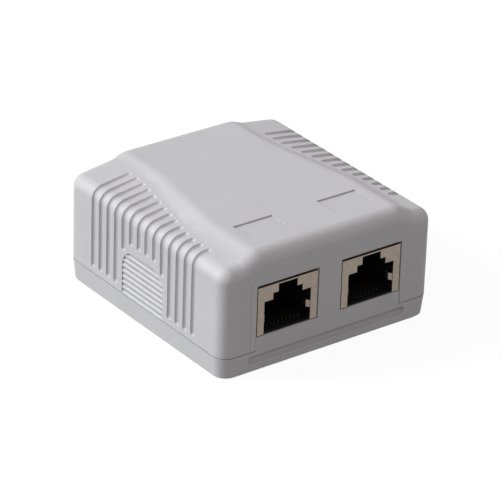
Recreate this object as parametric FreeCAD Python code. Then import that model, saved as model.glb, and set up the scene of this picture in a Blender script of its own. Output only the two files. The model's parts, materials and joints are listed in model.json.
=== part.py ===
"""Two-port shielded surface mount jack box, in millimetres.

+Z is up, -Y is the front with the two plug sockets, and the origin is the middle of the underside.
The cover snaps over the base and lifts straight off. The board, its jacks and its wiring blocks stay
on the base.
"""

import FreeCAD
import Part

import math
import os

Vec = FreeCAD.Vector

# ---- Driving dimensions -------------------------------------------------------------------------

# Whole box
BOX_WIDTH = 54.5
BOX_DEPTH = 56.5
BOX_HEIGHT = 27.3
SEAM_HEIGHT = 4.9
EDGE_RADIUS = 3.0

# Cover: a low shoulder each side, and a raised band that flares towards the front
COVER_WALL = 1.8
SHOULDER_DROP = 2.65
SHOULDER_ANGLE = 8.5
SHOULDER_TUCK = 1.6
FLAT_HALF_BACK = 14.1
FLAT_HALF_FRONT = 18.4
STRIP_RUN_BACK = 2.9
STRIP_RUN_FRONT = 4.0
FLARE_BACK_Y = 14.5
FLARE_FRONT_Y = -11.0
FLARE_RADIUS = 25.0
FLARE_DRIFT = 4.5
STRIP_DEPTH = 6.3
STRIP_CLIP = 0.25
CREASE_RADIUS = 5.0
SEAM_LINE_HEIGHT = 0.25
SEAM_LINE_DEPTH = 0.5

# Raised panel round the sockets
PANEL_MARGIN = 1.34
PANEL_DROP = 5.8
PANEL_PROUD = 0.1
PANEL_CORNER = 1.6

# Label recesses in the flat top
LABEL_WIDTH = 10.0
LABEL_LENGTH = 6.3
LABEL_DEPTH = 0.3
LABEL_SETBACK = 6.75

# Grip grooves down each side
GROOVE_COUNT = 14
GROOVE_PITCH = 2.8
GROOVE_CENTRE_Y = 0.4
GROOVE_RADIUS = 0.8
GROOVE_DEPTH = 0.55
GROOVE_RUNOUT_ANGLE = 2.0
GROOVE_RISE = 1.3
GROOVE_END_GAP = 0.6

# Louvred knock-out in each side
ARCH_HALF = 7.4
ARCH_CORNER = 4.0
ARCH_RISE = 0.35
ARCH_GROOVE_GAP = 1.6
LOUVRE_COUNT = 8
LOUVRE_PITCH = 1.3
LOUVRE_DEPTH = 0.38
LOUVRE_RISE = 0.35
LOUVRE_CUT_BACK = 0.5

# Base tray
FLOOR = 2.0
BASE_DRAFT = 0.35
BASE_FOOT_CHAMFER = 0.4
LIP_CLEARANCE = 0.2
LIP_THICKNESS = 1.0
LIP_HEIGHT = 2.3
LIP_SIDE_GAP = 1.0
LIP_CORNER = 1.2
TONGUE_RISE = 3.2
TONGUE_CLEARANCE = 0.12
TONGUE_SEAT = 0.05
FRONT_GROOVE_OVERHANG = 0.3
FRONT_GROOVE_Z = 3.1
FRONT_GROOVE_RADIUS = 0.9
FRONT_GROOVE_DEPTH = 0.7
SNAP_PROUD = 0.14
SNAP_RADIUS = 0.45
SNAP_LENGTH = 6.0
SNAP_RISE = 1.3
SNAP_POCKET_EASE = 0.12
SNAP_SIDE_Y = 16.0
SNAP_BACK_X = 11.0
WALL_SLOT_X = 20.0
WALL_SLOT_WIDTH = 4.5
WALL_SLOT_LENGTH = 7.0
WALL_SLOT_PAD = 1.2

# Circuit board
BOARD_THICKNESS = 1.6
BOARD_GAP = 0.3
BOARD_SEAT = 0.05
BOARD_EDGE = 1.6
PIN_HOLE = 0.9
TAIL_LENGTH = 1.4

# Jacks
JACK_PITCH = 21.66
WINDOW_WIDTH = 15.86
WINDOW_HEAD_GAP = 0.62
WINDOW_CLEARANCE = 0.3
JACK_HEIGHT = 11.2
JACK_DEPTH = 16.7
JACK_RECESS = 0.1
SHIELD_SHEET = 0.3
PLUG_HALF = 5.95
PLUG_HEIGHT = 7.7
LATCH_HALF = 3.75
LATCH_HEIGHT = 1.45
LATCH_TOP_HALF = 2.4
CAVITY_DEPTH = 12.8
CAVITY_FLOOR = 0.5
HOUSING_FIT = 0.05
COMB_HEIGHT = 1.0
COMB_WALL = 0.5
COMB_SETBACK = 1.2
FINGER_HEIGHT = 1.6
FINGER_Z = 3.85
FINGER_REACH = 0.5
FINGER_KNEE = 0.8
FINGER_LENGTH = 2.2
SHIELD_FOOT_GAP = 0.25
LEG_WIDTH = 1.2
LEG_Y = 9.0
CONTACT_COUNT = 8
CONTACT_PITCH = 1.02
CONTACT_WIRE = 0.3
CONTACT_REST = 0.15
CONTACT_LIFT = 2.2
CONTACT_BEND = 0.35
CONTACT_FRONT = 2.6
CONTACT_RUN = 7.5
CARRIER_HEIGHT = 3.0
CARRIER_SIDE_GAP = 0.6
TAIL_ROW = 1.27

# Wiring blocks: insulation-displacement contacts, one eight-way block for each jack
WAY_COUNT = 8
WAY_PITCH = 4.0
BLOCK_LENGTH = 34.0
BLOCK_DEPTH = 7.5
BLOCK_HEIGHT = 12.5
WIRE_SLOT = 1.0
WIRE_SLOT_DEPTH = 6.0
WIRE_FUNNEL = 2.2
WIRE_FUNNEL_DEPTH = 1.1
BLADE_WIDTH = 2.8
BLADE_SHEET = 0.6
BLADE_FIT = 0.05
BLADE_TOP_GAP = 1.6
BLADE_SLIT = 0.4
BLADE_SLIT_DEPTH = 5.0
BLADE_TIP = 0.8
BLADE_PIN = 0.7

# Earth bar and cable saddles
BAR_SHEET = 0.8
BAR_DEPTH = 9.0
BAR_END = 0.2
BAR_EDGE = 1.0
CABLE_RADIUS = 3.0
SADDLE_SHEET = 0.8
SADDLE_WIDTH = 5.0
SADDLE_GAP = 0.4
SADDLE_RISE = 1.8
SADDLE_STEPS = 12

# Screws and their bosses
SCREW_CORE = 1.1
SCREW_HEAD_RADIUS = 2.0
SCREW_HEAD_HEIGHT = 1.5
SCREW_HEAD_ROUND = 0.9
SCREW_HEAD_GAP = 0.1
SCREW_BITE = 3.6
SCREW_HOLE_EASE = 0.25
CROSS_ARM = 1.2
CROSS_WIDTH = 0.6
CROSS_DEPTH = 0.8
BOSS_RADIUS = 2.5
BOARD_SCREW_SETBACK = 8.0
REST_POST_INSET = 2.75
REST_POST_FRONT = 10.75
REST_POST_BACK = 3.5
REST_POST_RADIUS = 2.0

# ---- Derived places -----------------------------------------------------------------------------

HALF_WIDTH = BOX_WIDTH / 2
FRONT_Y = -BOX_DEPTH / 2
BACK_Y = BOX_DEPTH / 2
WALL_FRONT_Y = FRONT_Y + PANEL_PROUD
SHOULDER_EDGE_Z = BOX_HEIGHT - SHOULDER_DROP
SLOPE = math.tan(math.radians(SHOULDER_ANGLE))

TONGUE_TOP = SEAM_HEIGHT + TONGUE_RISE
TONGUE_HALF = JACK_PITCH / 2 + WINDOW_WIDTH / 2
BOARD_TOP = TONGUE_TOP + BOARD_SEAT
BOARD_BOTTOM = BOARD_TOP - BOARD_THICKNESS

LIP_INSET = COVER_WALL + LIP_CLEARANCE
TRAY_INSET = LIP_INSET + LIP_THICKNESS
LIP_TOP = SEAM_HEIGHT + LIP_HEIGHT
BOARD_HALF = HALF_WIDTH - TRAY_INSET - BOARD_GAP
BOARD_FRONT_Y = WALL_FRONT_Y + TRAY_INSET + BOARD_GAP
SNAP_Z = SEAM_HEIGHT + SNAP_RISE

JACK_FACE_Y = FRONT_Y + JACK_RECESS
JACK_BACK_Y = JACK_FACE_Y + JACK_DEPTH
JACK_HALF = WINDOW_WIDTH / 2 - WINDOW_CLEARANCE
JACK_TOP = BOARD_TOP + JACK_HEIGHT
PLUG_TOP = BOARD_TOP + PLUG_HEIGHT
LATCH_STEP_Z = PLUG_TOP + LATCH_HEIGHT
WINDOW_TOP = JACK_TOP + WINDOW_HEAD_GAP

PANEL_HALF = TONGUE_HALF + PANEL_MARGIN
PANEL_TOP = BOX_HEIGHT - PANEL_DROP
FRONT_GROOVE_HALF = PANEL_HALF + FRONT_GROOVE_OVERHANG
LABEL_FRONT_Y = FRONT_Y + LABEL_SETBACK
GROOVE_LOW_Z = SEAM_HEIGHT + GROOVE_RISE
ARCH_LOW_Z = SEAM_HEIGHT + ARCH_RISE
ARCH_TOP = ARCH_LOW_Z + LOUVRE_COUNT * LOUVRE_PITCH

# The two blocks and the earth bar share the depth behind the jacks, with equal gaps.
ROW_GAP = (BACK_Y - TRAY_INSET - JACK_BACK_Y - 2 * BLOCK_DEPTH - BAR_DEPTH) / 4
BLOCK_FRONT_Y = JACK_BACK_Y + ROW_GAP + BLOCK_DEPTH / 2
BLOCK_BACK_Y = BLOCK_FRONT_Y + BLOCK_DEPTH + ROW_GAP
BAR_FRONT_Y = BLOCK_BACK_Y + BLOCK_DEPTH / 2 + ROW_GAP
BAR_BACK_Y = BAR_FRONT_Y + BAR_DEPTH
BAR_TOP = BOARD_TOP + BAR_SHEET
BOARD_BACK_Y = BLOCK_BACK_Y + BLOCK_DEPTH / 2 + BOARD_EDGE
BOARD_TAB_BACK_Y = BAR_BACK_Y + BAR_EDGE

CLAMP_SCREW_Y = BAR_FRONT_Y + BAR_DEPTH / 2
CLAMP_SCREW_X = CABLE_RADIUS + SADDLE_SHEET + SCREW_HEAD_GAP + SCREW_HEAD_RADIUS
SADDLE_HALF = CLAMP_SCREW_X + SCREW_HEAD_RADIUS
SADDLE_X = SADDLE_HALF + SADDLE_GAP / 2
BOARD_TAB_HALF = SADDLE_X + SADDLE_HALF + BAR_END
WALL_SLOT_Y = CLAMP_SCREW_Y
BOARD_SCREW_Y = JACK_FACE_Y + BOARD_SCREW_SETBACK
SIDES = (-1, 1)


# ---- Helpers ------------------------------------------------------------------------------------

def box(x0, x1, y0, y1, z0, z1):
    return Part.makeBox(x1 - x0, y1 - y0, z1 - z0, Vec(x0, y0, z0))


def cylinder_z(x, y, z0, z1, radius):
    return Part.makeCylinder(radius, z1 - z0, Vec(x, y, z0))


def prism_xz(points, y0, y1):
    """A closed outline of (x, z) points, from y0 to y1."""
    corners = [Vec(x, y0, z) for x, z in points]
    return Part.Face(Part.makePolygon(corners + corners[:1])).extrude(Vec(0, y1 - y0, 0))


def prism_yz(points, x0, x1):
    """A closed outline of (y, z) points, from x0 to x1."""
    corners = [Vec(x0, y, z) for y, z in points]
    return Part.Face(Part.makePolygon(corners + corners[:1])).extrude(Vec(x1 - x0, 0, 0))


def prism_xy(points, z0, z1):
    """A closed outline of (x, y) points, from z0 to z1."""
    corners = [Vec(x, y, z0) for x, y in points]
    return Part.Face(Part.makePolygon(corners + corners[:1])).extrude(Vec(0, 0, z1 - z0))


def upright_edges(shape):
    return [e for e in shape.Edges if e.BoundBox.XLength < 1e-6 and e.BoundBox.YLength < 1e-6]


def footprint_block(inset, z0, z1, radius):
    """The box's plan, drawn in by inset on every side, with rounded corners."""
    block = box(inset - HALF_WIDTH, HALF_WIDTH - inset, WALL_FRONT_Y + inset, BACK_Y - inset, z0, z1)
    return block.makeFillet(radius, upright_edges(block))


def plan_wire(inset, z, radius):
    """The rounded plan as a wire at height z."""
    sheet = footprint_block(inset, z, z + 1.0, radius)
    lowest = min(sheet.Faces, key=lambda face: face.CenterOfMass.z)
    return lowest.OuterWire


def ribbon(points, thickness):
    """The outline of a bent strip: both sides of a run of 2D points, mitred at the bends."""
    half = thickness / 2
    left, right = [], []
    last = len(points) - 1
    for i, (x, y) in enumerate(points):
        before = points[max(i - 1, 0)]
        after = points[min(i + 1, last)]
        normals = []
        for a, b in ((before, (x, y)), ((x, y), after)):
            length = math.hypot(b[0] - a[0], b[1] - a[1])
            if length > 0:
                normals.append(((a[1] - b[1]) / length, (b[0] - a[0]) / length))
        nx = sum(n[0] for n in normals)
        ny = sum(n[1] for n in normals)
        scale = half * len(normals) / (nx * nx + ny * ny)
        left.append((x + nx * scale, y + ny * scale))
        right.append((x - nx * scale, y - ny * scale))
    return left + right[::-1]


def fuse_all(shapes):
    return shapes[0].multiFuse(shapes[1:]).removeSplitter() if len(shapes) > 1 else shapes[0]


def jack_centres():
    return {"left": -JACK_PITCH / 2, "right": JACK_PITCH / 2}


# ---- Outer form ---------------------------------------------------------------------------------

def shoulder_height(x):
    """Height of the sloping shoulder plane at x."""
    return SHOULDER_EDGE_Z + SLOPE * (HALF_WIDTH - abs(x))


def shoulder_body(inset, bottom, radius):
    """The box below its raised band: two sloping shoulders and rounded outer edges."""
    half = HALF_WIDTH - inset
    drop = inset / math.cos(math.radians(SHOULDER_ANGLE))
    edge = shoulder_height(half) - drop
    step = FLAT_HALF_BACK - SHOULDER_TUCK
    level = shoulder_height(step) - drop
    y0 = WALL_FRONT_Y + inset
    y1 = BACK_Y - inset
    points = [(-half, bottom), (half, bottom), (half, edge), (step, level), (-step, level),
              (-half, edge)]
    block = prism_xz(points, y0, y1)
    outer = []
    for e in block.Edges:
        b = e.BoundBox
        on_step = b.XLength < 1e-6 and abs(abs(b.XMin) - step) < 1e-6
        if b.ZMax > bottom + 1e-3 and not on_step:
            outer.append(e)
    return block.makeFillet(radius, outer)


def flare_side(side, half_front, half_back, front_turn, back_turn, z, y0, y1):
    """One long side of the band in plan: straight, turning out, and straight again."""
    corners = [
        Vec(side * half_front, y0, z),
        Vec(side * half_front, front_turn, z),
        Vec(side * half_back, back_turn, z),
        Vec(side * half_back, y1, z),
    ]
    edges = []
    start = corners[0]
    for before, corner, after in zip(corners, corners[1:], corners[2:]):
        back = (before - corner).normalize()
        ahead = (after - corner).normalize()
        turn = math.pi - back.getAngle(ahead)
        reach = FLARE_RADIUS * math.tan(turn / 2)
        inward = (back + ahead).normalize()
        middle = corner + inward * (FLARE_RADIUS / math.cos(turn / 2) - FLARE_RADIUS)
        first = corner + back * reach
        second = corner + ahead * reach
        edges += [Part.makeLine(start, first), Part.Arc(first, middle, second).toShape()]
        start = second
    return edges + [Part.makeLine(start, corners[-1])]


def band_outline(half_front, half_back, front_turn, back_turn, z, y0, y1):
    sides = [flare_side(s, half_front, half_back, front_turn, back_turn, z, y0, y1) for s in SIDES]
    ends = [
        Part.makeLine(Vec(-half_back, y1, z), Vec(half_back, y1, z)),
        Part.makeLine(Vec(-half_front, y0, z), Vec(half_front, y0, z)),
    ]
    return Part.Wire(Part.__sortEdges__(sides[0] + sides[1] + ends))


def strip_rate(half, run):
    """How far the band's sloping strip moves outwards for each millimetre that it falls."""
    return run / (BOX_HEIGHT - shoulder_height(half + run))


def band_body(inset, radius, crease):
    """The raised band: a flat top, and a strip each side that slopes down to the shoulders."""
    y0 = WALL_FRONT_Y + inset
    y1 = BACK_Y - inset
    top = BOX_HEIGHT - inset
    low = BOX_HEIGHT - STRIP_DEPTH
    halves = {}
    for end, half, run in (("front", FLAT_HALF_FRONT, STRIP_RUN_FRONT),
                           ("back", FLAT_HALF_BACK, STRIP_RUN_BACK)):
        rate = strip_rate(half, run)
        high = half - inset * (math.sqrt(1 + rate * rate) - rate)
        halves[end] = (high, high + rate * (top - low))
    upper = band_outline(halves["front"][0], halves["back"][0], FLARE_FRONT_Y, FLARE_BACK_Y,
                         top, y0, y1)
    lower = band_outline(halves["front"][1], halves["back"][1], FLARE_FRONT_Y + FLARE_DRIFT,
                         FLARE_BACK_Y - FLARE_DRIFT, low, y0, y1)
    clip = HALF_WIDTH - EDGE_RADIUS - STRIP_CLIP - inset
    body = Part.makeLoft([lower, upper], True, True).common(box(-clip, clip, y0, y1, low, top))
    long_creases = []
    for e in body.Edges:
        b = e.BoundBox
        if abs(b.ZMin - top) < 1e-6 and b.YLength > 0.5:
            long_creases.append(e)
    body = body.makeFillet(crease, long_creases)
    ends = []
    for e in body.Edges:
        b = e.BoundBox
        on_end = min(abs(b.YMax - y0), abs(b.YMin - y1)) < 1e-4
        if on_end and b.YLength < 1e-4 and b.XLength > 0.1 and b.ZMin > low + 0.1:
            ends.append(e)
    return body.makeFillet(radius, ends)


def outer_form(inset, bottom, radius, crease):
    return shoulder_body(inset, bottom, radius).fuse(band_body(inset, radius, crease)).removeSplitter()


def strip_foot(y):
    """Half the distance between the two feet of the sloping strips, at y."""
    back = FLAT_HALF_BACK + STRIP_RUN_BACK
    front = FLAT_HALF_FRONT + STRIP_RUN_FRONT
    share = (FLARE_BACK_Y - y) / (FLARE_BACK_Y - FLARE_FRONT_Y)
    return back + (front - back) * min(max(share, 0.0), 1.0)


# ---- Cover --------------------------------------------------------------------------------------

def panel():
    """The slightly raised panel round both sockets, with rounded upper corners."""
    plate = box(-PANEL_HALF, PANEL_HALF, FRONT_Y, FRONT_Y + COVER_WALL, SEAM_HEIGHT, PANEL_TOP)
    upper = [e for e in edges_across(plate, "Y") if e.BoundBox.ZMin > PANEL_TOP - 1e-6]
    return plate.makeFillet(PANEL_CORNER, upper)


def edges_across(shape, axis):
    """The straight edges that run along one axis."""
    found = []
    for e in shape.Edges:
        lengths = {"X": e.BoundBox.XLength, "Y": e.BoundBox.YLength, "Z": e.BoundBox.ZLength}
        if all(length < 1e-6 for name, length in lengths.items() if name != axis):
            found.append(e)
    return found


def arch_height(dy):
    """Height of the knock-out's arched top, dy from its middle."""
    over = abs(dy) - (ARCH_HALF - ARCH_CORNER)
    if over <= 0:
        return ARCH_TOP
    return ARCH_TOP - ARCH_CORNER + math.sqrt(max(ARCH_CORNER ** 2 - over ** 2, 0.0))


def grip_groove(side, y):
    """A round-bottomed cut that runs down a shoulder, over the edge and down the side wall."""
    proud = GROOVE_RADIUS - GROOVE_DEPTH
    dy = y - GROOVE_CENTRE_Y
    low = GROOVE_LOW_Z
    if abs(dy) < ARCH_HALF:
        low = arch_height(dy) + ARCH_GROOVE_GAP
    low += GROOVE_RADIUS
    level = math.radians(90 - SHOULDER_ANGLE)
    angle = level - math.radians(GROOVE_RUNOUT_ANGLE)
    centre_x = HALF_WIDTH - EDGE_RADIUS
    centre_z = shoulder_height(centre_x) - EDGE_RADIUS / math.sin(level)
    reach = EDGE_RADIUS + proud
    corner = (centre_x + reach * math.cos(angle), centre_z + reach * math.sin(angle))
    end_x = strip_foot(y) + GROOVE_END_GAP + GROOVE_RADIUS
    run = (corner[0] - end_x) / math.sin(angle)
    bend_middle = (centre_x + reach * math.cos(angle / 2), centre_z + reach * math.sin(angle / 2))
    end = (corner[0] - run * math.sin(angle), corner[1] + run * math.cos(angle))

    def at(x, z):
        return Vec(side * x, y, z)

    wall_foot = at(HALF_WIDTH + proud, low)
    wall_head = at(HALF_WIDTH + proud, centre_z)
    path = Part.Wire([
        Part.makeLine(wall_foot, wall_head),
        Part.Arc(wall_head, at(*bend_middle), at(*corner)).toShape(),
        Part.makeLine(at(*corner), at(*end)),
    ])
    section = Part.Wire(Part.makeCircle(GROOVE_RADIUS, wall_foot, Vec(0, 0, 1)))
    tube = path.makePipeShell([section], True, True)
    caps = [Part.makeSphere(GROOVE_RADIUS, wall_foot), Part.makeSphere(GROOVE_RADIUS, at(*end))]
    return tube.multiFuse(caps)


def groove_rows():
    first = GROOVE_CENTRE_Y - GROOVE_PITCH * (GROOVE_COUNT - 1) / 2
    return [first + GROOVE_PITCH * i for i in range(GROOVE_COUNT)]


def louvre_cut(side):
    """A saw-toothed pocket inside the arch: each louvre's lower edge is flush with the wall."""
    wall = HALF_WIDTH
    out = wall + 1.0
    teeth = [(out, ARCH_LOW_Z), (wall, ARCH_LOW_Z)]
    for i in range(LOUVRE_COUNT):
        foot = ARCH_LOW_Z + LOUVRE_PITCH * i
        teeth += [(wall - LOUVRE_DEPTH, foot + LOUVRE_RISE), (wall, foot + LOUVRE_PITCH)]
    teeth.append((out, ARCH_TOP))
    y0 = GROOVE_CENTRE_Y - ARCH_HALF
    y1 = GROOVE_CENTRE_Y + ARCH_HALF
    saw = prism_xz([(side * x, z) for x, z in teeth], y0, y1)
    inner, outer = sorted((side * (wall - LOUVRE_DEPTH - LOUVRE_CUT_BACK), side * out))
    arch = box(inner, outer, y0, y1, ARCH_LOW_Z, ARCH_TOP)
    upper = [e for e in edges_across(arch, "X") if e.BoundBox.ZMin > ARCH_TOP - 1e-6]
    return saw.common(arch.makeFillet(ARCH_CORNER, upper))


def snap_beads(kind, radius, length):
    """The round bars of the snap beads along the outside of the base's lip."""
    depth = LIP_INSET - SNAP_PROUD + SNAP_RADIUS
    bars = []
    if kind == "side":
        for side in SIDES:
            for y in (-SNAP_SIDE_Y, SNAP_SIDE_Y):
                x = side * (HALF_WIDTH - depth)
                bars.append(Part.makeCylinder(radius, length, Vec(x, y - length / 2, SNAP_Z), Vec(0, 1, 0)))
    else:
        for side in SIDES:
            start = Vec(side * SNAP_BACK_X - length / 2, BACK_Y - depth, SNAP_Z)
            bars.append(Part.makeCylinder(radius, length, start, Vec(1, 0, 0)))
    return bars


def make_cover():
    inner_radius = EDGE_RADIUS - COVER_WALL
    cover = outer_form(0, SEAM_HEIGHT, EDGE_RADIUS, CREASE_RADIUS)
    cover = cover.fuse(panel()).removeSplitter()
    cover = cover.cut(outer_form(COVER_WALL, SEAM_HEIGHT - 1.0, inner_radius, EDGE_RADIUS))

    cuts = [grip_groove(side, y) for side in SIDES for y in groove_rows()]
    cuts += [louvre_cut(side) for side in SIDES]
    inside_y = WALL_FRONT_Y + COVER_WALL + 1.0
    for x in jack_centres().values():
        half = WINDOW_WIDTH / 2
        cuts.append(box(x - half, x + half, FRONT_Y - 1.0, inside_y, SEAM_HEIGHT - 1.0, WINDOW_TOP))
        half = LABEL_WIDTH / 2
        cuts.append(box(x - half, x + half, LABEL_FRONT_Y, LABEL_FRONT_Y + LABEL_LENGTH,
                        BOX_HEIGHT - LABEL_DEPTH, BOX_HEIGHT + 1.0))
    notch = TONGUE_HALF + TONGUE_CLEARANCE
    cuts.append(box(-notch, notch, FRONT_Y - 1.0, inside_y, SEAM_HEIGHT - 1.0,
                    TONGUE_TOP + TONGUE_SEAT))
    line = footprint_block(-1.0, SEAM_HEIGHT, SEAM_HEIGHT + SEAM_LINE_HEIGHT, EDGE_RADIUS)
    line = line.cut(footprint_block(SEAM_LINE_DEPTH, SEAM_HEIGHT - 1.0, SEAM_HEIGHT + 1.0,
                                    EDGE_RADIUS - SEAM_LINE_DEPTH))
    cuts.append(line)
    pocket = SNAP_RADIUS + SNAP_POCKET_EASE
    for kind in ("side", "back"):
        cuts += snap_beads(kind, pocket, SNAP_LENGTH + 2 * SNAP_POCKET_EASE)
    return cover.cut(cuts)


# ---- Base ---------------------------------------------------------------------------------------

def wall_slot(side):
    """A rounded slot along X for a wall screw."""
    half = (WALL_SLOT_LENGTH - WALL_SLOT_WIDTH) / 2
    x = side * WALL_SLOT_X
    radius = WALL_SLOT_WIDTH / 2
    top = FLOOR + WALL_SLOT_PAD + 1.0
    ends = [cylinder_z(x + s * half, WALL_SLOT_Y, -1.0, top, radius) for s in SIDES]
    middle = box(x - half, x + half, WALL_SLOT_Y - radius, WALL_SLOT_Y + radius, -1.0, top)
    return fuse_all(ends + [middle])


def screw_places():
    board = [(0.0, BOARD_SCREW_Y)]
    clamp = [(side * SADDLE_X + s * CLAMP_SCREW_X, CLAMP_SCREW_Y) for side in SIDES for s in SIDES]
    return {"board": board, "clamp": clamp}


def front_groove():
    """The shallow round groove across the base's front, with round ends."""
    y = WALL_FRONT_Y - FRONT_GROOVE_RADIUS + FRONT_GROOVE_DEPTH
    y += BASE_DRAFT * (SEAM_HEIGHT - FRONT_GROOVE_Z) / SEAM_HEIGHT
    half = FRONT_GROOVE_HALF - FRONT_GROOVE_RADIUS
    bar = Part.makeCylinder(FRONT_GROOVE_RADIUS, 2 * half, Vec(-half, y, FRONT_GROOVE_Z), Vec(1, 0, 0))
    caps = [Part.makeSphere(FRONT_GROOVE_RADIUS, Vec(s * half, y, FRONT_GROOVE_Z)) for s in SIDES]
    return bar.multiFuse(caps)


def make_lip():
    """The thin lip that the cover slips over, left open at the front and at the knock-outs."""
    lip = footprint_block(LIP_INSET, FLOOR, LIP_TOP, LIP_CORNER)
    lip = lip.cut(footprint_block(TRAY_INSET, FLOOR - 1.0, LIP_TOP + 1.0, LIP_CORNER / 2))
    gap = ARCH_HALF + LIP_SIDE_GAP
    front = TONGUE_HALF + LIP_INSET
    lip = lip.cut([
        box(-HALF_WIDTH, HALF_WIDTH, GROOVE_CENTRE_Y - gap, GROOVE_CENTRE_Y + gap,
            SEAM_HEIGHT, LIP_TOP + 1.0),
        box(-front, front, WALL_FRONT_Y, BOARD_FRONT_Y, SEAM_HEIGHT, LIP_TOP + 1.0),
    ])
    return lip


def make_base():
    chamfered = BASE_DRAFT + BASE_FOOT_CHAMFER
    tray = Part.makeLoft([plan_wire(chamfered, 0.0, EDGE_RADIUS),
                          plan_wire(BASE_DRAFT, BASE_FOOT_CHAMFER, EDGE_RADIUS),
                          plan_wire(0.0, SEAM_HEIGHT, EDGE_RADIUS)], True, True)
    tray = tray.cut(footprint_block(TRAY_INSET, FLOOR, SEAM_HEIGHT + 1.0, LIP_CORNER / 2))

    tongue = box(-TONGUE_HALF, TONGUE_HALF, WALL_FRONT_Y, WALL_FRONT_Y + COVER_WALL,
                 SEAM_HEIGHT, TONGUE_TOP)
    adds = [make_lip(), tongue]
    for kind in ("side", "back"):
        adds += snap_beads(kind, SNAP_RADIUS, SNAP_LENGTH)
    bosses = screw_places()["board"] + screw_places()["clamp"]
    adds += [cylinder_z(x, y, FLOOR, BOARD_BOTTOM, BOSS_RADIUS) for x, y in bosses]
    post_x = BOARD_HALF - REST_POST_INSET
    for post_y in (BOARD_FRONT_Y + REST_POST_FRONT, BOARD_BACK_Y - REST_POST_BACK):
        adds += [cylinder_z(s * post_x, post_y, FLOOR, BOARD_BOTTOM, REST_POST_RADIUS) for s in SIDES]
    pad = WALL_SLOT_WIDTH / 2 + WALL_SLOT_PAD
    reach = WALL_SLOT_LENGTH / 2 + WALL_SLOT_PAD
    for side in SIDES:
        outer = min(WALL_SLOT_X + reach, HALF_WIDTH - TRAY_INSET)
        x0, x1 = sorted((side * (WALL_SLOT_X - reach), side * outer))
        adds.append(box(x0, x1, WALL_SLOT_Y - pad, WALL_SLOT_Y + pad, FLOOR, FLOOR + WALL_SLOT_PAD))
    base = tray.multiFuse(adds).removeSplitter()

    cuts = [front_groove()] + [wall_slot(side) for side in SIDES]
    cuts += [cylinder_z(x, y, BOARD_BOTTOM - SCREW_BITE, BOARD_TOP, SCREW_CORE) for x, y in bosses]
    return base.cut(cuts)


# ---- Circuit board ------------------------------------------------------------------------------

def contact_rows(x):
    """(x, y) of a jack's contact tails: two staggered rows behind the plug cavity."""
    middle = JACK_FACE_Y + CAVITY_DEPTH + (JACK_DEPTH - CAVITY_DEPTH) / 2
    first = x - CONTACT_PITCH * (CONTACT_COUNT - 1) / 2
    return [(first + CONTACT_PITCH * i, middle + (-1) ** i * TAIL_ROW / 2) for i in range(CONTACT_COUNT)]


def blade_places(block_y):
    first = -WAY_PITCH * (WAY_COUNT - 1) / 2
    return [(first + WAY_PITCH * i, block_y) for i in range(WAY_COUNT)]


def leg_places(x):
    half = JACK_HALF - SHIELD_SHEET / 2
    return [(x + s * half, JACK_FACE_Y + LEG_Y) for s in SIDES]


def make_board():
    board = box(-BOARD_HALF, BOARD_HALF, BOARD_FRONT_Y, BOARD_BACK_Y, BOARD_BOTTOM, BOARD_TOP)
    tab = box(-BOARD_TAB_HALF, BOARD_TAB_HALF, BOARD_BACK_Y, BOARD_TAB_BACK_Y, BOARD_BOTTOM, BOARD_TOP)
    board = board.fuse(tab).removeSplitter()
    holes = []
    for x in jack_centres().values():
        holes += [(px, py, PIN_HOLE / 2) for px, py in contact_rows(x)]
    for block_y in (BLOCK_FRONT_Y, BLOCK_BACK_Y):
        holes += [(px, py, PIN_HOLE / 2 + BLADE_FIT) for px, py in blade_places(block_y)]
    for places in screw_places().values():
        holes += [(px, py, SCREW_CORE + SCREW_HOLE_EASE) for px, py in places]
    cuts = [cylinder_z(px, py, BOARD_BOTTOM - 1.0, BOARD_TOP + 1.0, r) for px, py, r in holes]
    for x in jack_centres().values():
        for px, py in leg_places(x):
            ease = SHIELD_SHEET / 2 + BOARD_SEAT
            reach = LEG_WIDTH / 2 + BOARD_SEAT
            cuts.append(box(px - ease, px + ease, py - reach, py + reach,
                            BOARD_BOTTOM - 1.0, BOARD_TOP + 1.0))
    return board.cut(cuts)


# ---- Jacks --------------------------------------------------------------------------------------

def plug_outline(x, ease=0.0):
    """The stepped socket outline in (x, z): plug body, then the two steps of its latch."""
    wide = PLUG_HALF + ease
    middle = LATCH_HALF + ease
    top = LATCH_TOP_HALF + ease
    floor = BOARD_TOP + CAVITY_FLOOR
    roof = JACK_TOP - SHIELD_SHEET
    right = [(wide, floor), (wide, PLUG_TOP), (middle, PLUG_TOP), (middle, LATCH_STEP_Z),
             (top, LATCH_STEP_Z), (top, roof)]
    left = [(-px, pz) for px, pz in reversed(right)]
    return [(x + px, pz) for px, pz in right + left]


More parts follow.
